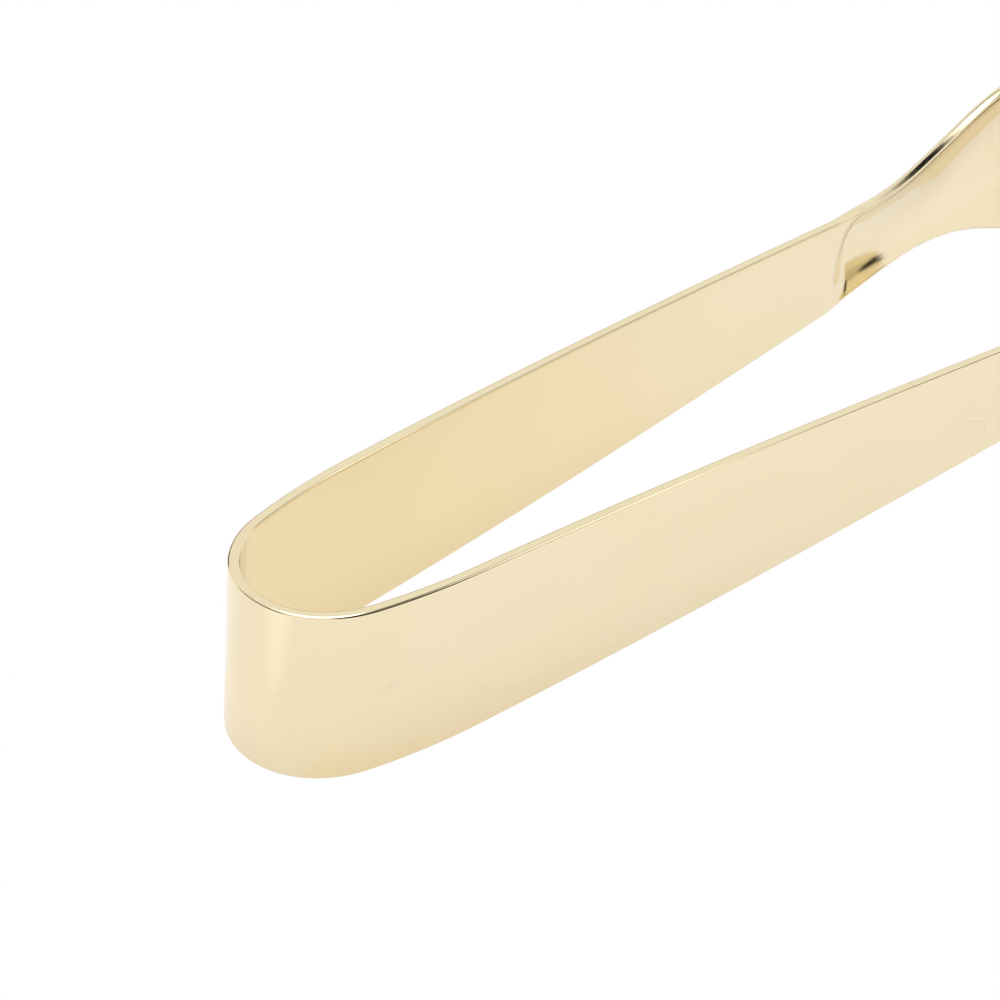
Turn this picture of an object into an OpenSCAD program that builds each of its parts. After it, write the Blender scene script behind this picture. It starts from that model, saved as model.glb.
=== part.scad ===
// Ice tongs: one long strip of sheet metal, bent into a narrow U that stands on its edge.
// +X runs from the bow to the claws, +Y is the left arm's side and +Z is the strip's width.
// The origin is the middle of the bounding box's lower face, so the claws' lower rims are at z = 0.
// Each section of the strip has a node of its own, and the sections meet face to face.

/* [Strip] */
// Thickness of the sheet
strip_t = 1.0; // [0.8:0.1:1.2]
// Width of the strip round the bow
bow_w = 17.5; // [16:0.5:20]
// Width of the strip at the waist, its narrowest place
waist_w = 10.26; // [9:0.01:12]
// Width of a claw at its widest, between the middles of its rims
claw_w = 25; // [22:0.5:28]
// Width that the claw narrows to at its very tip
tip_w = 16; // [13:0.5:19]

/* [Bow] */
// Radius of the middle of the bow, to the middle of the sheet
crown_r = 7; // [6:0.1:8]
// Angle that the strip turns at that radius, on each side
crown_turn = 45; // [40:1:50]
// Radius of the easier bend beside it
shoulder_r = 9.4; // [8.5:0.1:10.5]
// Angle that the strip turns at the shoulder
shoulder_turn = 32; // [28:1:36]
// Radius of the long bend that runs out into the arm
easing_r = 66; // [50:1:80]

/* [Arms] */
// Angle between a relaxed arm and the middle plane
arm_splay = 3.3; // [2.5:0.1:4]
// Length along the strip from the crown to the end of the flat arm
arm_end = 92; // [88:1:94]

/* [Neck] */
// Length of the bend that turns the neck outward
neck_l = 16; // [12:1:18]
// Angle that the neck turns outward
neck_turn = 11; // [9:1:13]
// Length of the straight start of the bowl
throat_l = 10; // [8:1:12]
// Length from the end of the flat arm to the start of the hollow
press_after = 0.5; // [0:0.5:3]
// Length along which the hollow reaches its full depth
press_l = 5.5; // [3:0.5:8]

/* [Claws] */
// Length of the claw, along the middle of its back
claw_l = 43; // [38:1:46]
// Radius that the claw's back curls inward at
curl_r = 58; // [52:1:66]
// Radius of the claw's hollow, across its width
cup_r = 20; // [18:0.5:24]
// Number of teeth on each claw
teeth = 5; // [3:1:7]
// Length of a tooth
tooth_l = 3.4; // [2:0.1:4.5]
// How far the outer teeth stand back from the middle one
tip_round = 4; // [2:0.5:6]

/* [Flex] */
// Angle that each arm can be spread beyond its relaxed place
spread_max = 3; // [0:0.5:4]

/* [Hidden] */

bow_step = 0.3;
arm_rows = 36;
neck_rows = 26;
claw_rows = 22;
cols_per_tooth = 4;
cols = teeth * cols_per_tooth;
gold = [0.93, 0.82, 0.58];
pale_gold = [0.95, 0.87, 0.68];

// The strip's middle line from the crown to a tip: the length and the turn of each stretch.
// A positive turn bends the strip towards the middle plane.
easing_turn = 90 - crown_turn - shoulder_turn - arm_splay;
bow_l = arc_length(crown_r, crown_turn) + arc_length(shoulder_r, shoulder_turn)
    + arc_length(easing_r, easing_turn);
STRETCHES = [
    [arc_length(crown_r, crown_turn), crown_turn],
    [arc_length(shoulder_r, shoulder_turn), shoulder_turn],
    [arc_length(easing_r, easing_turn), easing_turn],
    [arm_end - bow_l, 0],
    [neck_l, -neck_turn],
    [throat_l, 0],
    [claw_l, claw_l / curl_r * 180 / PI]
];
claw_at = arm_end + neck_l + throat_l;
tip_at = claw_at + claw_l;

// The outline's stations: length along the strip, half width there, and slope of the edge.
waist_at = arm_end + 11.5;
widest_at = tip_at - 19;
OUTLINE = [
    [bow_l, bow_w / 2, -0.008],
    [waist_at - 4.5, waist_w / 2 + 0.14, -0.065],
    [waist_at, waist_w / 2, 0],
    [waist_at + 21.5, (waist_w + claw_w) / 4 - 0.065, 0.28],
    [widest_at, claw_w / 2, 0],
    [tip_at, tip_w / 2, -0.5]
];

// The middle of the strip is pressed outward from here, and its rims turn in between the other two.
press_from = arm_end + press_after;
rims_from = arm_end + 2;
rims_to = arm_end + 28;

// Place of the strip's crown in the part's frame.
tip = spine(tip_at);
box_l = tip[0] + strip_t / 2 * (1 - cos(tip[2]));
crown_x = (strip_t - box_l) / 2;
middle_z = (claw_w + strip_t * claw_w / 2 / cup_r) / 2;

function arc_length(r, turn) = r * turn * PI / 180;

// Moves a pen that is at [x, y, heading] along a stretch. Heading 0 is along +Y and 90 is along +X.
function advance(pen, run, turn) =
    turn == 0
        ? [pen[0] + run * sin(pen[2]), pen[1] + run * cos(pen[2]), pen[2]]
        : let (r = run / turn * 180 / PI, heading = pen[2] + turn)
            [pen[0] + r * (cos(pen[2]) - cos(heading)),
             pen[1] + r * (sin(heading) - sin(pen[2])),
             heading];

// The pen's place after a length s of strip, from the crown.
function spine(s, k = 0, pen = [0, 0, 0]) =
    let (run = k == len(STRETCHES) - 1 ? s : min(s, STRETCHES[k][0]))
    let (next = run > 0 ? advance(pen, run, STRETCHES[k][1] * run / STRETCHES[k][0]) : pen)
    s > run ? spine(s - run, k + 1, next) : next;

// Cubic between two outline stations.
function between(a, b, s) =
    let (gap = b[0] - a[0], t = (s - a[0]) / gap)
    a[1] * (1 - 3 * t * t + 2 * t * t * t) + b[1] * (3 * t * t - 2 * t * t * t)
        + gap * a[2] * (t * t * t - 2 * t * t + t) + gap * b[2] * (t * t * t - t * t);

function half_width(s, k = 0) =
    s <= OUTLINE[0][0] ? OUTLINE[0][1]
        : k == len(OUTLINE) - 2 || s <= OUTLINE[k + 1][0] ? between(OUTLINE[k], OUTLINE[k + 1], s)
        : half_width(s, k + 1);

function smoothstep(t) =
    let (part = max(0, min(1, t)))
    part * part * (3 - 2 * part);

// Curvature across the strip. Up to the widest place it leans the rims over by the same angle.
function hollow(s) =
    smoothstep((s - press_from) / press_l) * claw_w / 2 / cup_r / half_width(min(s, widest_at));

// How far an arc of this curvature has come in at the distance z from its middle.
function rise(curvature, z) =
    let (lean = curvature * z)
    z * lean / (1 + sqrt(1 - lean * lean));

// How far the rims stand in from the middle line.
function rim_place(s) =
    rise(smoothstep((s - rims_from) / (rims_to - rims_from)) / cup_r, half_width(s));

// A point of the left half: s along the strip, v from -1 to 1 across it, lift towards the middle plane.
function strip_point(s, v, lift) =
    let (pen = spine(s), rim = half_width(s), z = v * rim, bend = hollow(s), lean = bend * z)
    let (inward = rim_place(s) - rise(bend, rim) + rise(bend, z) + sqrt(1 - lean * lean) * lift)
    [pen[0] + cos(pen[2]) * inward, pen[1] - sin(pen[2]) * inward, z - lean * lift];

// The edge of the teeth: 1 at the point of a tooth and 0 between two teeth.
function tooth_wave(v) =
    let (phase = (v + 1) / 2 * teeth)
    1 - abs(2 * (phase - floor(phase)) - 1);

function toothed_end(v) = tip_at - tip_round * v * v - tooth_l * (1 - tooth_wave(v));

// Triangles of a grid of points whose rows are wide points long.
function grid_faces(rows, wide, first, flip) = [
    for (i = [0 : rows - 1], j = [0 : wide - 2], half = [0, 1])
        let (a = first + i * wide + j, b = a + 1, c = a + wide, d = c + 1)
        let (face = half == 0 ? [a, b, d] : [a, d, c])
        flip ? [face[0], face[2], face[1]] : face
];

// Triangles that join a line of points on one skin to the same line on the other.
function rim_faces(line, skin, flip) = [
    for (i = [0 : len(line) - 2], half = [0, 1])
        let (a = line[i], b = line[i + 1], c = a + skin, d = b + skin)
        let (face = half == 0 ? [a, d, b] : [a, c, d])
        flip ? [face[0], face[2], face[1]] : face
];

// Puts a shape drawn from the crown into the part's frame.
module placed() {
    translate([crown_x, 0, middle_z]) children();
}

// The flat arm, whose end at the bow is cut back a little so that the arm can be spread.
module flat_arm() {
    root = spine(bow_l);
    run = arm_end - bow_l;
    relief = spread_max > 0 ? strip_t * tan(spread_max + 0.3) : 0;
    upper = [for (i = [0 : arm_rows]) [run * i / arm_rows, half_width(bow_l + run * i / arm_rows)]];
    lower = [for (i = [arm_rows : -1 : 0]) [upper[i][0], -upper[i][1]]];
    translate([root[0], root[1], 0])
        rotate([0, 0, 90 - root[2]])
        intersection() {
            rotate([90, 0, 0])
                linear_extrude(strip_t, center = true)
                polygon(concat(upper, lower));
            translate([0, 0, -bow_w])
                linear_extrude(2 * bow_w)
                polygon([
                    [0, -strip_t / 2],
                    [run, -strip_t / 2],
                    [run, strip_t / 2],
                    [relief, strip_t / 2]
                ]);
        }
}

// A hollowed stretch of the strip, from one length to another, and toothed at its far end if asked.
module hollowed(from, to, rows, toothed = false) {
    wide = cols + 1;
    skin = (rows + 1) * wide;
    points = [
        for (lift = [-strip_t / 2, strip_t / 2], i = [0 : rows], j = [0 : cols])
            let (v = 2 * j / cols - 1, end = toothed ? toothed_end(v) : to)
            strip_point(from + (end - from) * i / rows, v, lift)
    ];
    low_rim = [for (i = [0 : rows]) i * wide];
    high_rim = [for (i = [0 : rows]) i * wide + cols];
    near_end = [for (j = [0 : cols]) j];
    far_end = [for (j = [0 : cols]) rows * wide + j];
    polyhedron(points, concat(
        grid_faces(rows, wide, 0, true),
        grid_faces(rows, wide, skin, false),
        rim_faces(low_rim, skin, false),
        rim_faces(high_rim, skin, true),
        rim_faces(near_end, skin, true),
        rim_faces(far_end, skin, false)
    ));
}

// The spring: the U bend that holds the two arms apart.
module bow() {
    steps = ceil(bow_l / bow_step);
    skins = [
        for (lift = [-strip_t / 2, strip_t / 2]) [
            for (i = [-steps : steps])
                let (pen = spine(abs(i) / steps * bow_l), side = i < 0 ? -1 : 1)
                [pen[0] + cos(pen[2]) * lift, side * (pen[1] - sin(pen[2]) * lift)]
        ]
    ];
    inner = [for (i = [2 * steps : -1 : 0]) skins[1][i]];
    color(gold) placed()
        translate([0, 0, -bow_w / 2])
        linear_extrude(bow_w)
        polygon(concat(skins[0], inner));
}

module left_arm() {
    color(pale_gold) placed() flat_arm();
}

module right_arm() {
    color(pale_gold) placed() mirror([0, 1, 0]) flat_arm();
}

module left_neck() {
    color(gold) placed() hollowed(arm_end, claw_at, neck_rows);
}

module right_neck() {
    color(gold) placed() mirror([0, 1, 0]) hollowed(arm_end, claw_at, neck_rows);
}

module left_claw() {
    color(pale_gold) placed() hollowed(claw_at, tip_at, claw_rows, toothed = true);
}

module right_claw() {
    color(pale_gold) placed() mirror([0, 1, 0]) hollowed(claw_at, tip_at, claw_rows, toothed = true);
}

bow();
left_arm();
right_arm();
left_neck();
right_neck();
left_claw();
right_claw();
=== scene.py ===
"""Ice tongs: one strip of polished, pale-gold sheet metal, bent into a U, with hollow toothed claws.

The strip is swept as two halves, which meet at the crown of the bow. On the real tongs each half bends
between the bow and its own arm when they are squeezed; here both are built at rest. Sizes are in
millimetres, as in the part's own source, and become metres when a mesh is made.
"""
import math

import bpy
import numpy as np
from mathutils import Matrix, Vector


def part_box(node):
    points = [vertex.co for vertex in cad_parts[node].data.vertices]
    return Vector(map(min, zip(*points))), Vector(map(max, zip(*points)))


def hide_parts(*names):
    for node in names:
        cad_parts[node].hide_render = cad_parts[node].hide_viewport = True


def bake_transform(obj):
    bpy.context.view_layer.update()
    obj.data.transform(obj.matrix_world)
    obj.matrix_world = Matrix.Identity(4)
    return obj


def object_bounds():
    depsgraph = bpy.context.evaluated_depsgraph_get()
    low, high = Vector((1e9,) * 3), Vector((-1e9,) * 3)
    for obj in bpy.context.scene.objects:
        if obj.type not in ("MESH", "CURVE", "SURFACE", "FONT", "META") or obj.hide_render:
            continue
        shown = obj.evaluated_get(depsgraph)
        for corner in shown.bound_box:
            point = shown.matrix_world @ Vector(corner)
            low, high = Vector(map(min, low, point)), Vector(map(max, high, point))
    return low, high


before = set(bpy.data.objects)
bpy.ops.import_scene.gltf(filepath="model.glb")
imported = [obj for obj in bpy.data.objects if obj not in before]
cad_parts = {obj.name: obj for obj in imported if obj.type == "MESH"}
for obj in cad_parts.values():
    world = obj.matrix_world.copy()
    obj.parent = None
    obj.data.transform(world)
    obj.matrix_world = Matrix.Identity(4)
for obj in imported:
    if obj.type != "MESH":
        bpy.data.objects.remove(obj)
cad_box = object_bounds()

MM = 0.001
bow_low, bow_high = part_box("bow")

# ---------------------------------------------------------------- sizes, in millimetres and degrees
STRIP_T = 1.0
BOW_W = (bow_high.z - bow_low.z) / MM
WAIST_W = 10.26
CLAW_W = 25.0
TIP_W = 16.0
CROWN_R = 7.0
CROWN_TURN = 45.0
SHOULDER_R = 9.4
SHOULDER_TURN = 32.0
EASING_R = 66.0
ARM_SPLAY = 3.3
ARM_END = 92.0
NECK_L = 16.0
NECK_TURN = 11.0
THROAT_L = 10.0
CLAW_L = 43.0
CURL_R = 58.0
CUP_R = 20.0
TEETH = 5
TOOTH_L = 3.4
TIP_ROUND = 4.0

# Only the looks need these: rounded edges, bends that run in and out gently, and blunt teeth.
EDGE_R = 0.25
EASE_L = 3.0
BLUNT = 0.12
END_GAP = 0.06

# The smooth sweep is kept a little inside the sides of the faceted CAD.
SIDE_GAP = 0.01
SIDE_LIMIT = cad_box[1].y / MM - SIDE_GAP

CROWN_X = bow_low.x / MM + STRIP_T / 2
MIDDLE_Z = (bow_low.z + bow_high.z) / 2 / MM


def smoothstep(t):
    t = np.clip(t, 0, 1)
    return t * t * (3 - 2 * t)


def arc_length(r, turn):
    return r * math.radians(turn)


# ---------------------------------------------------------------- the strip's middle line
# Each bend is its length and its curvature, which is positive towards the middle plane.
EASING_TURN = 90 - CROWN_TURN - SHOULDER_TURN - ARM_SPLAY
BOW_BENDS = [
    (arc_length(CROWN_R, CROWN_TURN), 1 / CROWN_R),
    (arc_length(SHOULDER_R, SHOULDER_TURN), 1 / SHOULDER_R),
    (arc_length(EASING_R, EASING_TURN), 1 / EASING_R),
]
BOW_L = sum(run for run, _ in BOW_BENDS)
CLAW_AT = ARM_END + NECK_L + THROAT_L
TIP_AT = CLAW_AT + CLAW_L
BENDS = BOW_BENDS + [
    (ARM_END - BOW_L, 0.0),
    (NECK_L, -math.radians(NECK_TURN) / NECK_L),
    (THROAT_L, 0.0),
    (CLAW_L, 1 / CURL_R),
]
LINE_STEP = 0.02


def running_sum(rate):
    """The integral of a rate that is sampled along the middle line."""
    return np.concatenate([[0.0], np.cumsum((rate[1:] + rate[:-1]) / 2 * LINE_STEP)])


def middle_line():
    """Samples of length, x, y and heading along the strip, with each change of curvature eased in."""
    s = np.arange(0, TIP_AT + LINE_STEP, LINE_STEP)
    curvature = np.full(s.shape, BENDS[0][1])
    end = 0.0
    for (run, bend), (_, next_bend) in zip(BENDS, BENDS[1:]):
        end += run
        curvature += (next_bend - bend) * smoothstep((s - end) / EASE_L + 0.5)
    heading = running_sum(curvature)
    return s, running_sum(np.sin(heading)), running_sum(np.cos(heading)), heading


LINE = middle_line()

# ---------------------------------------------------------------- the outline and the hollow
# The outline's stations: length along the strip, half width there, and slope of the edge.
WAIST_AT = ARM_END + 11.5
WIDEST_AT = TIP_AT - 19
OUTLINE = [
    (BOW_L, BOW_W / 2, -0.008),
    (WAIST_AT - 4.5, WAIST_W / 2 + 0.14, -0.065),
    (WAIST_AT, WAIST_W / 2, 0.0),
    (WAIST_AT + 21.5, (WAIST_W + CLAW_W) / 4 - 0.065, 0.28),
    (WIDEST_AT, CLAW_W / 2, 0.0),
    (TIP_AT, TIP_W / 2, -0.5),
]

# The middle of the strip is pressed outward from here, and its rims turn in between the other two.
PRESS_FROM = ARM_END + 0.5
PRESS_L = 5.5
RIMS_FROM = ARM_END + 2
RIMS_TO = ARM_END + 28


def half_width(s):
    """Half the strip's width: a cubic between each two stations."""
    h = np.full(np.shape(s), OUTLINE[0][1])
    for (s0, h0, slope0), (s1, h1, slope1) in zip(OUTLINE, OUTLINE[1:]):
        t = (s - s0) / (s1 - s0)
        start = h0 * (1 - 3 * t**2 + 2 * t**3) + slope0 * (s1 - s0) * (t**3 - 2 * t**2 + t)
        end = h1 * (3 * t**2 - 2 * t**3) + slope1 * (s1 - s0) * (t**3 - t**2)
        h = np.where(s > s0, start + end, h)
    return h


def hollow(s):
    """Curvature across the strip. Up to the widest place it leans the rims over by the same angle."""
    full = CLAW_W / 2 / CUP_R / half_width(np.minimum(s, WIDEST_AT))
    return full * smoothstep((s - PRESS_FROM) / PRESS_L)


def rise(curvature, z):
    """How far an arc of this curvature has come in at the distance z from its middle."""
    lean = curvature * z
    return z * lean / (1 + np.sqrt(1 - lean**2))


def strip_point(s, z, lift):
    """A point of the left half. Lift is out of the middle of the sheet, towards the middle plane."""
    x, y, heading = (np.interp(s, LINE[0], values) for values in LINE[1:])
    rim = half_width(s)
    rim_place = rise(smoothstep((s - RIMS_FROM) / (RIMS_TO - RIMS_FROM)) / CUP_R, rim)
    lean = hollow(s) * z
    inward = rim_place - rise(hollow(s), rim) + rise(hollow(s), z) + np.sqrt(1 - lean**2) * lift
    return np.stack([x + np.cos(heading) * inward, y - np.sin(heading) * inward, z - lean * lift], -1)


def toothed_end(v):
    """Where the strip ends, for v from -1 to 1 across it, with slightly blunt teeth."""
    phase = (v + 1) / 2 * TEETH
    from_point = 2 * (phase - np.floor(phase)) - 1
    fall = (np.sqrt(from_point**2 + BLUNT**2) - BLUNT) / (math.sqrt(1 + BLUNT**2) - BLUNT)
    return TIP_AT - END_GAP - TIP_ROUND * v**2 - TOOTH_L * fall


# ---------------------------------------------------------------- meshes
# How finely the strip is cut, with lengths in millimetres.
EDGE_RINGS = 6
SUPPORT_GAP = 0.1
SEAM_L = 0.02
# Where points lie across each tooth, as shares of its width.
ACROSS_TOOTH = (0.0, 0.05, 0.15, 0.35, 0.45, 0.5, 0.55, 0.65, 0.85, 0.95)
# A place along the strip, and the step between rings up to there.
ROW_STEPS = ((BOW_L, 0.3), (ARM_END, 2.0), (PRESS_FROM + 2 * PRESS_L, 0.25), (CLAW_AT, 0.65))
CLAW_ROWS = 86


def edge_insets():
    """Distances in from an edge: the rings of its rounding, and one more that keeps the skin flat."""
    turns = np.linspace(0, math.pi / 2, EDGE_RINGS + 1)
    return np.append(EDGE_R * (1 - np.cos(turns)), EDGE_R + SUPPORT_GAP)


def even_rows():
    """Lengths along the strip of its rings up to the claw: at the crown, right by it, then evenly."""
    rows = [0.0, SEAM_L]
    for end, step in ROW_STEPS:
        count = math.ceil((end - rows[-1]) / step)
        rows += list(np.linspace(rows[-1], end, count + 1)[1:])
    return rows


def skin_grid():
    """Length, height, half thickness and nearness to an edge of a skin's points, a row for each ring."""
    insets = edge_insets()
    parts = [(tooth + part) / TEETH for tooth in range(TEETH) for part in ACROSS_TOOTH] + [1.0]
    rim = insets[:-1]
    v = np.concatenate([np.full(len(rim), -1.0), 2 * np.array(parts) - 1, np.full(len(rim), 1.0)])
    rim_inset = np.concatenate([rim, np.full(len(parts), insets[-1]), rim[::-1]])
    end = toothed_end(v)
    slope = np.gradient(end, v * (half_width(end) - rim_inset))
    slant = np.sqrt(1 + slope**2)
    claw_end = end - insets[-1] * slant
    shares = np.arange(1, CLAW_ROWS + 1) / CLAW_ROWS
    rows = [np.full(v.shape, s) for s in even_rows()]
    rows += [CLAW_AT + (claw_end - CLAW_AT) * share for share in shares]
    plain_rows = len(rows)
    rows += [end - inset * slant for inset in rim[::-1]]
    s = np.array(rows)
    end_inset = np.concatenate([np.full(plain_rows, insets[-1]), rim[::-1]])[:, None]
    into_edge = np.hypot(np.maximum(EDGE_R - rim_inset, 0), np.maximum(EDGE_R - end_inset, 0)) / EDGE_R
    into_edge = np.minimum(into_edge, 1)
    thick = STRIP_T / 2 - EDGE_R * (1 - np.sqrt(1 - into_edge**2))
    return s, v * (half_width(s) - rim_inset), thick, into_edge


def half_points(s, z, thick, side):
    """Points of one half in metres, a row for each ring: up the outer skin, then down the inner one."""
    outer = strip_point(s, z, -thick)
    inner = strip_point(s, z, thick)
    points = np.concatenate([outer, inner[:, ::-1]], 1)
    points[..., 1] *= min(1.0, SIDE_LIMIT / points[..., 1].max())
    return (points + (CROWN_X, 0, MIDDLE_Z)) * (MM, side * MM, MM)


def half_faces(rings, around):
    """Quads between the rings, quads that close the toothed end, and last the flat face at the crown."""
    index = np.arange(rings * around).reshape(rings, around)
    after = np.roll(index, -1, 1)
    quads = np.stack([index[:-1], after[:-1], after[1:], index[1:]], -1).reshape(-1, 4)
    outer = index[-1][: around // 2]
    inner = index[-1][::-1][: around // 2]
    tip_quads = np.stack([outer[:-1], outer[1:], inner[1:], inner[:-1]], -1)
    return [list(face) for face in np.concatenate([quads, tip_quads])] + [list(index[0][::-1])]


def shade(mesh):
    """Shades the whole mesh smooth, up to the sharp border of its last face, the one at the crown."""
    mesh.shade_smooth()
    seam = mesh.polygons[len(mesh.polygons) - 1]
    seam.use_smooth = False
    seam_edges = set(seam.edge_keys)
    for edge in mesh.edges:
        edge.use_edge_sharp = tuple(sorted(edge.vertices)) in seam_edges


def both_skins(values):
    """A skin's values in the order of a half's points."""
    return np.concatenate([values, values[:, ::-1]], 1)


def half_strip(name, side):
    """One half of the strip as a closed mesh. Side is 1 for the left half and -1 for the right."""
    s, z, thick, into_edge = skin_grid()
    points = half_points(s, z, thick, side)
    faces = half_faces(*points.shape[:2])
    if side > 0:
        faces = [face[::-1] for face in faces]
    mesh = bpy.data.meshes.new(name)
    mesh.from_pydata(points.reshape(-1, 3).tolist(), [], faces)
    shade(mesh)
    along = both_skins(s) * side
    across = both_skins(z)
    store(mesh, "strip", "FLOAT_VECTOR", np.stack([along, across, np.zeros_like(across)], -1) * MM)
    store(mesh, "edge", "FLOAT", both_skins(into_edge))
    piece = bpy.data.objects.new(name, mesh)
    bpy.context.scene.collection.objects.link(piece)
    return piece


def store(mesh, name, kind, values):
    """Keeps a value for each point of a mesh, for its material to read."""
    attribute = mesh.attributes.new(name, kind, "POINT")
    key = "vector" if kind == "FLOAT_VECTOR" else "value"
    attribute.data.foreach_set(key, np.ascontiguousarray(values, np.float32).ravel())


# ---------------------------------------------------------------- materials
class Nodes:
    """Short ways to build the node tree of a material or a world, which starts empty."""

    def __init__(self, owner):
        owner.use_nodes = True
        self.tree = owner.node_tree
        self.tree.nodes.clear()

    def add(self, kind, **settings):
        node = self.tree.nodes.new(kind)
        for key, value in settings.items():
            setattr(node, key, value)
        return node

    def put(self, socket, value):
        if isinstance(value, bpy.types.NodeSocket):
            self.tree.links.new(value, socket)
        else:
            socket.default_value = value

    def show(self, shader, kind="ShaderNodeOutputMaterial"):
        self.put(self.add(kind).inputs["Surface"], shader)

    def math(self, operation, *values):
        node = self.add("ShaderNodeMath", operation=operation)
        for socket, value in zip(node.inputs, values):
            self.put(socket, value)
        return node.outputs[0]

    def vector(self, operation, *values):
        node = self.add("ShaderNodeVectorMath", operation=operation)
        for socket, value in zip(node.inputs, values):
            self.put(socket, value)
        return node.outputs["Value" if operation == "DOT_PRODUCT" else "Vector"]

    def noise(self, coordinate, scale, detail=2.0, roughness=0.5):
        node = self.add("ShaderNodeTexNoise")
        self.put(node.inputs["Vector"], coordinate)
        node.inputs["Scale"].default_value = scale
        node.inputs["Detail"].default_value = detail
        node.inputs["Roughness"].default_value = roughness
        return node.outputs["Fac"]

    def mix(self, kind, factor, a, b):
        node = self.add("ShaderNodeMix", data_type=kind)
        for key, value in (("Factor", factor), ("A", a), ("B", b)):
            self.put(node.inputs[key], value)
        return node.outputs["Result"]

    def ramp(self, value, low, high, to_low=0.0, to_high=1.0):
        """A smooth step from to_low at low to to_high at high."""
        node = self.add("ShaderNodeMapRange", interpolation_type="SMOOTHSTEP")
        for key, number in zip(("Value", "From Min", "From Max", "To Min", "To Max"),
                               (value, low, high, to_low, to_high)):
            self.put(node.inputs[key], number)
        return node.outputs["Result"]


GOLD = (0.88, 0.765, 0.51, 1.0)
GOLD_DEEP = (0.872, 0.755, 0.495, 1.0)
GOLD_MARK = (0.66, 0.56, 0.36, 1.0)
MARK_STRENGTH = 0.22
GOLD_ROUGHNESS = 0.09
SMUDGE_ROUGHNESS = 0.05
DRAWN_ROUGHNESS = 0.03

# How fine each noise is, per metre. Where there are three numbers, they are along, across and unused.
TONE_SCALE = 70.0
SCRATCH_SCALE = (25.0, 110.0, 1.0)
SCRATCHED_SCALE = 90.0
SPECK_SCALE = 2600.0
SMUDGE_SCALE = 160.0
DRAWN_SCALE = (60.0, 9000.0, 1.0)
RIPPLE_SCALE = 420.0
BURR_SCALE = 5200.0

# Between which values of its noise each mark comes in.
TONE_RANGE = (0.35, 0.65)
SCRATCHED_RANGE = (0.54, 0.64)
SPECK_RANGE = (0.76, 0.80)
SMUDGE_RANGE = (0.45, 0.75)
SCRATCH_MIDDLE = 0.5
SCRATCH_SPREAD = 0.004

# Depths of the relief, in millimetres: a ripple, burrs on the edges, and lines from drawing the sheet.
RIPPLE_DEPTH = 0.004
BURR_DEPTH = 0.003
DRAWN_DEPTH = 0.00015


def scratches(nodes, strip, place):
    """Hairlines: the narrow middles of a stretched noise, where another noise lets them be."""
    streaks = nodes.noise(nodes.vector("MULTIPLY", strip, SCRATCH_SCALE), scale=1.0, detail=1.0)
    from_middle = nodes.math("ABSOLUTE", nodes.math("SUBTRACT", streaks, SCRATCH_MIDDLE))
    line = nodes.ramp(from_middle, 0.0, SCRATCH_SPREAD, to_low=1.0, to_high=0.0)
    scratched = nodes.ramp(nodes.noise(place, SCRATCHED_SCALE), *SCRATCHED_RANGE)
    return nodes.math("MULTIPLY", line, scratched)


def relief(nodes, place, drawn, edge):
    """The normal of a surface with a slight ripple, drawn lines, and burrs on its edges."""
    ripple = nodes.noise(place, RIPPLE_SCALE, detail=1.0)
    burr = nodes.math("MULTIPLY", nodes.noise(place, BURR_SCALE), edge)
    height = nodes.math("MULTIPLY", ripple, RIPPLE_DEPTH * MM)
    for mark, depth in ((burr, BURR_DEPTH), (drawn, DRAWN_DEPTH)):
        height = nodes.math("ADD", height, nodes.math("MULTIPLY", mark, depth * MM))
    bump = nodes.add("ShaderNodeBump")
    bump.inputs["Strength"].default_value = 1.0
    bump.inputs["Distance"].default_value = 1.0
    nodes.put(bump.inputs["Height"], height)
    return bump.outputs["Normal"]


def polished_gold():
    """Thin pale gold on polished steel: a mirror with faint smudges, hairlines and specks."""
    material = bpy.data.materials.new("polished_gold")
    nodes = Nodes(material)
    place = nodes.add("ShaderNodeTexCoord").outputs["Object"]
    strip = nodes.add("ShaderNodeAttribute", attribute_name="strip").outputs["Vector"]
    edge = nodes.add("ShaderNodeAttribute", attribute_name="edge").outputs["Fac"]

    tone = nodes.ramp(nodes.noise(place, TONE_SCALE), *TONE_RANGE)
    speck = nodes.ramp(nodes.noise(place, SPECK_SCALE, detail=1.0), *SPECK_RANGE)
    mark = nodes.math("MAXIMUM", scratches(nodes, strip, place), speck)
    colour = nodes.mix("RGBA", tone, GOLD, GOLD_DEEP)
    colour = nodes.mix("RGBA", nodes.math("MULTIPLY", mark, MARK_STRENGTH), colour, GOLD_MARK)

    smudge = nodes.noise(place, SMUDGE_SCALE, detail=4.0, roughness=0.6)
    smudge = nodes.ramp(smudge, *SMUDGE_RANGE, to_high=SMUDGE_ROUGHNESS)
    drawn = nodes.noise(nodes.vector("MULTIPLY", strip, DRAWN_SCALE), scale=1.0, detail=3.0)
    roughness = nodes.math("ADD", GOLD_ROUGHNESS, smudge)
    roughness = nodes.math("ADD", roughness, nodes.math("MULTIPLY", drawn, DRAWN_ROUGHNESS))

    shader = nodes.add("ShaderNodeBsdfPrincipled")
    shader.inputs["Metallic"].default_value = 1.0
    nodes.put(shader.inputs["Base Color"], colour)
    nodes.put(shader.inputs["Roughness"], roughness)
    nodes.put(shader.inputs["Normal"], relief(nodes, place, drawn, edge))
    nodes.show(shader.outputs["BSDF"])
    return material


gold = polished_gold()
for side, hand in ((1, "left"), (-1, "right")):
    half = half_strip(f"{hand}_half", side)
    half.data.materials.append(gold)
    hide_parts("bow", f"{hand}_arm", f"{hand}_neck", f"{hand}_claw")
    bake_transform(half)

# ---------------------------------------------------------------- floor, light and camera
# The floor's size and its gap below the tongs, in metres.
FLOOR_SIZE = 4.0
FLOOR_GAP = 0.00002

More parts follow.
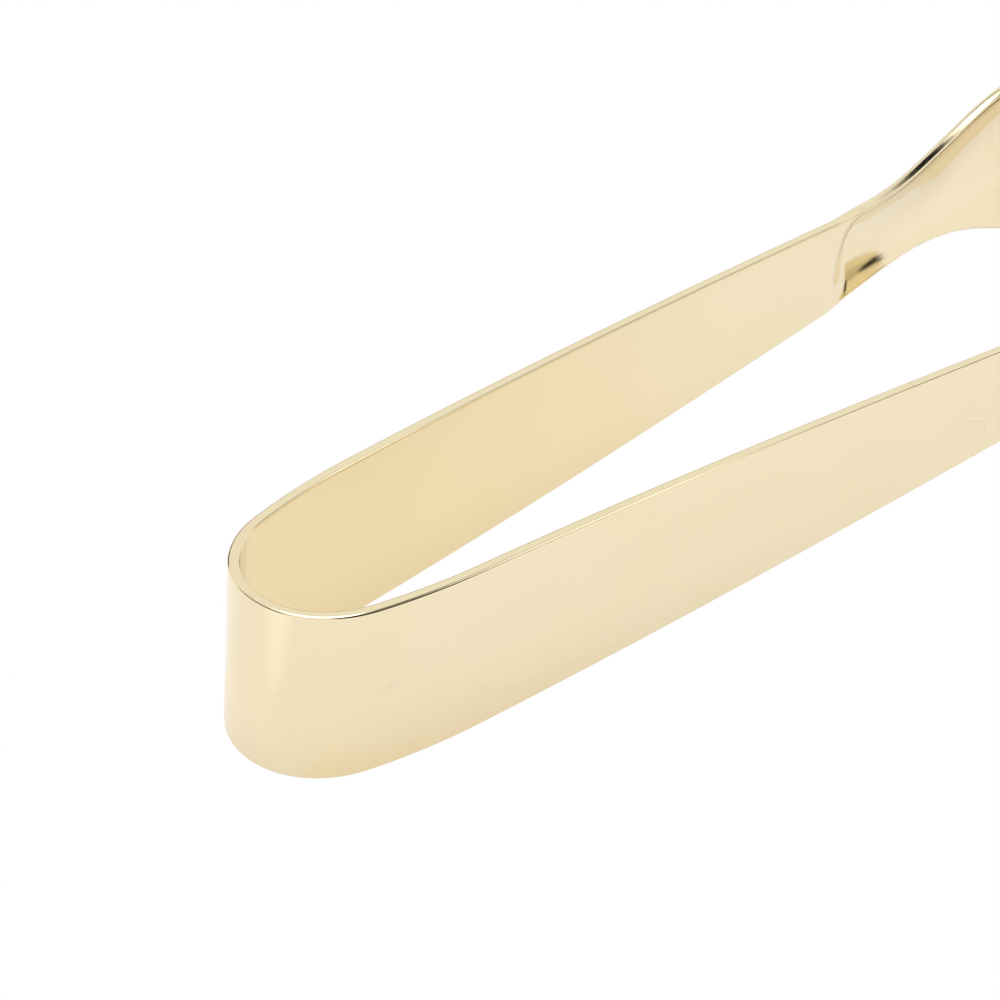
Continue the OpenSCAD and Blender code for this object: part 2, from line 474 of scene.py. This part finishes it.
WHITE = (1.0, 1.0, 1.0, 1.0)
PAPER_COLOUR = (0.42, 0.42, 0.44, 1.0)
PAPER_GLOW = 0.55
GLOW_COLOUR = (1.0, 1.0, 1.05, 1.0)

# A painted pool of light, a glow on the paper in front of the bow: its direction from the crown, the
# angles from there where it is full and gone, and its strength.
PAINTED_POOL_TOWARDS = (-0.99, -0.13, 0.0)
PAINTED_POOL_FULL = 5.0
PAINTED_POOL_GONE = 30.0
PAINTED_POOL_GLOW = 0.12

# Painted gold bounce light, a gold-tinted glow on the paper between the arms: its colour, then where it
# comes in and goes out along from the crown, and goes out to each side, in millimetres.
PAINTED_BOUNCE_COLOUR = (1.02, 0.93, 0.80, 1.0)
PAINTED_BOUNCE_IN = (0, 2)
PAINTED_BOUNCE_OUT = (35, 100)
PAINTED_BOUNCE_SIDE = (7, 14)


def painted_pool_of_light(nodes, place):
    """The strength of a painted pool of light, a glow on the paper in front of the bow where no lamp
    shines.
    """
    from_crown = nodes.vector("NORMALIZE", nodes.vector("SUBTRACT", place, (CROWN_X * MM, 0, 0)))
    in_front = nodes.vector("DOT_PRODUCT", from_crown, PAINTED_POOL_TOWARDS)
    gone, full = (math.cos(math.radians(angle)) for angle in (PAINTED_POOL_GONE, PAINTED_POOL_FULL))
    return nodes.ramp(in_front, gone, full, to_high=PAINTED_POOL_GLOW)


def painted_gold_bounce(nodes, place):
    """How much painted gold bounce light glows on the paper between both arms, standing in for light from
    their gold.
    """
    along = nodes.vector("DOT_PRODUCT", place, (1.0, 0.0, 0.0))
    aside = nodes.math("ABSOLUTE", nodes.vector("DOT_PRODUCT", place, (0.0, 1.0, 0.0)))
    comes_in = nodes.ramp(along, *((CROWN_X + end) * MM for end in PAINTED_BOUNCE_IN))
    goes_out = nodes.ramp(along, *((CROWN_X + end) * MM for end in reversed(PAINTED_BOUNCE_OUT)))
    between = nodes.ramp(aside, *(end * MM for end in reversed(PAINTED_BOUNCE_SIDE)))
    return nodes.math("MULTIPLY", nodes.math("MULTIPLY", goes_out, comes_in), between)


def white_paper():
    """Paper that is plain white to the camera, and takes the tongs' shade in their reflections.

    A painted pool of light glows on it in front of the bow, and painted gold bounce light glows on it
    between the arms.
    """
    material = bpy.data.materials.new("white_paper")
    nodes = Nodes(material)
    place = nodes.add("ShaderNodeNewGeometry").outputs["Position"]
    # The glow turns gold between the arms: painted gold bounce light.
    glow = nodes.mix("RGBA", painted_gold_bounce(nodes, place), GLOW_COLOUR, PAINTED_BOUNCE_COLOUR)
    paper = nodes.add("ShaderNodeBsdfPrincipled")
    paper.inputs["Base Color"].default_value = PAPER_COLOUR
    paper.inputs["Roughness"].default_value = 1.0
    paper.inputs["Specular IOR Level"].default_value = 0.0
    nodes.put(paper.inputs["Emission Color"], glow)
    # The glow is raised in front of the bow: a painted pool of light.
    nodes.put(paper.inputs["Emission Strength"], nodes.math("ADD", painted_pool_of_light(nodes, place), PAPER_GLOW))
    white = nodes.add("ShaderNodeEmission")
    either = nodes.add("ShaderNodeMixShader")
    nodes.put(either.inputs["Fac"], nodes.add("ShaderNodeLightPath").outputs["Is Camera Ray"])
    nodes.put(either.inputs[1], paper.outputs["BSDF"])
    nodes.put(either.inputs[2], white.outputs["Emission"])
    nodes.show(either.outputs["Shader"])
    return material


def floor():
    """A pale sheet that the bow's lower edge and the claws' lower rims rest on."""
    claw_x = CROWN_X + np.interp(WIDEST_AT, LINE[0], LINE[1])
    bow_z = bow_low.z / MM
    slope = math.atan2(bow_z, claw_x - CROWN_X)
    half = FLOOR_SIZE / 2
    corners = [(-half, -half, 0), (half, -half, 0), (half, half, 0), (-half, half, 0)]
    mesh = bpy.data.meshes.new("floor")
    mesh.from_pydata(corners, [], [(0, 1, 2, 3)])
    sheet = bpy.data.objects.new("floor", mesh)
    sheet.location = (claw_x * MM, 0, -FLOOR_GAP)
    sheet.rotation_euler = (0, slope, 0)
    bpy.context.scene.collection.objects.link(sheet)
    mesh.materials.append(white_paper())


TENT_GLOW = 0.95
# For each: its direction, the angles from its middle where it is full and gone, and its strength.
SOFTBOXES = (
    ((0.00, 0.00, 1.00), 18, 25, 3.0),
    ((0.55, -0.48, 0.68), 7, 11, 1.5),
    ((0.90, -0.40, 0.15), 16, 26, 0.06),
)
DARK_CARDS = (
    ((0.74, -0.37, 0.55), 6, 11, 1.0),
    ((0.42, -0.22, 0.88), 11, 15, 1.0),
    ((0.06, -0.90, 0.42), 23, 35, 1.0),
    ((-0.85, 0.35, 0.35), 25, 40, 0.6),
    ((0.20, 0.95, 0.15), 15, 19, 1.0),
    ((0.62, 0.76, 0.18), 10, 18, 0.25),
)


def patch(nodes, direction, towards, full_at, gone_at, strength):
    """The strength of a light or dark thing that is seen in a direction."""
    nearness = nodes.vector("DOT_PRODUCT", direction, Vector(towards).normalized())
    gone, full = (math.cos(math.radians(angle)) for angle in (gone_at, full_at))
    return nodes.ramp(nearness, gone, full, to_high=strength)


def studio():
    """A white tent with softboxes and dark cards, which only the reflections show."""
    world = bpy.data.worlds.new("studio")
    nodes = Nodes(world)
    direction = nodes.add("ShaderNodeTexCoord").outputs["Generated"]
    radiance = TENT_GLOW
    for softbox in SOFTBOXES:
        radiance = nodes.math("ADD", radiance, patch(nodes, direction, *softbox))
    for card in DARK_CARDS:
        kept = nodes.math("SUBTRACT", 1.0, patch(nodes, direction, *card))
        radiance = nodes.math("MULTIPLY", radiance, kept)
    to_camera = nodes.add("ShaderNodeLightPath").outputs["Is Camera Ray"]
    background = nodes.add("ShaderNodeBackground")
    background.inputs["Color"].default_value = WHITE
    nodes.put(background.inputs["Strength"], nodes.mix("FLOAT", to_camera, radiance, 1.0))
    nodes.show(background.outputs["Background"], "ShaderNodeOutputWorld")
    bpy.context.scene.world = world
    bpy.context.scene.view_settings.view_transform = "Standard"


# Angles in degrees, the camera's place and lens in millimetres, and how near and far it sees in metres.
CAMERA_AZIMUTH = 46.67
CAMERA_ELEVATION = 36.46
CAMERA_ROLL = 5.22
CAMERA_DISTANCE = 232.3
CAMERA_RIGHT = 19.31
CAMERA_UP = 16.44
CAMERA_LENS = 100.7
SENSOR_WIDTH = 36.0
NEAREST = 0.01
FARTHEST = 20.0


def camera():
    """A camera that looks down at the bow from in front, on the right arm's side, a little rolled."""
    azimuth = math.radians(CAMERA_AZIMUTH)
    elevation = math.radians(CAMERA_ELEVATION)
    back = Vector((
        -math.sin(azimuth) * math.cos(elevation),
        -math.cos(azimuth) * math.cos(elevation),
        math.sin(elevation),
    ))
    right = Vector((math.cos(azimuth), -math.sin(azimuth), 0))
    up = back.cross(right)
    crown = Vector((CROWN_X, 0, MIDDLE_Z))
    place = crown + back * CAMERA_DISTANCE + right * CAMERA_RIGHT + up * CAMERA_UP
    turn = Matrix((right, up, back)).transposed() @ Matrix.Rotation(math.radians(CAMERA_ROLL), 3, "Z")
    data = bpy.data.cameras.new("camera")
    data.lens = CAMERA_LENS
    data.sensor_width = SENSOR_WIDTH
    data.clip_start = NEAREST
    data.clip_end = FARTHEST
    eye = bpy.data.objects.new("camera", data)
    eye.matrix_world = Matrix.Translation(place * MM) @ turn.to_4x4()
    bpy.context.scene.collection.objects.link(eye)
    bpy.context.scene.camera = eye


floor()
studio()
camera()
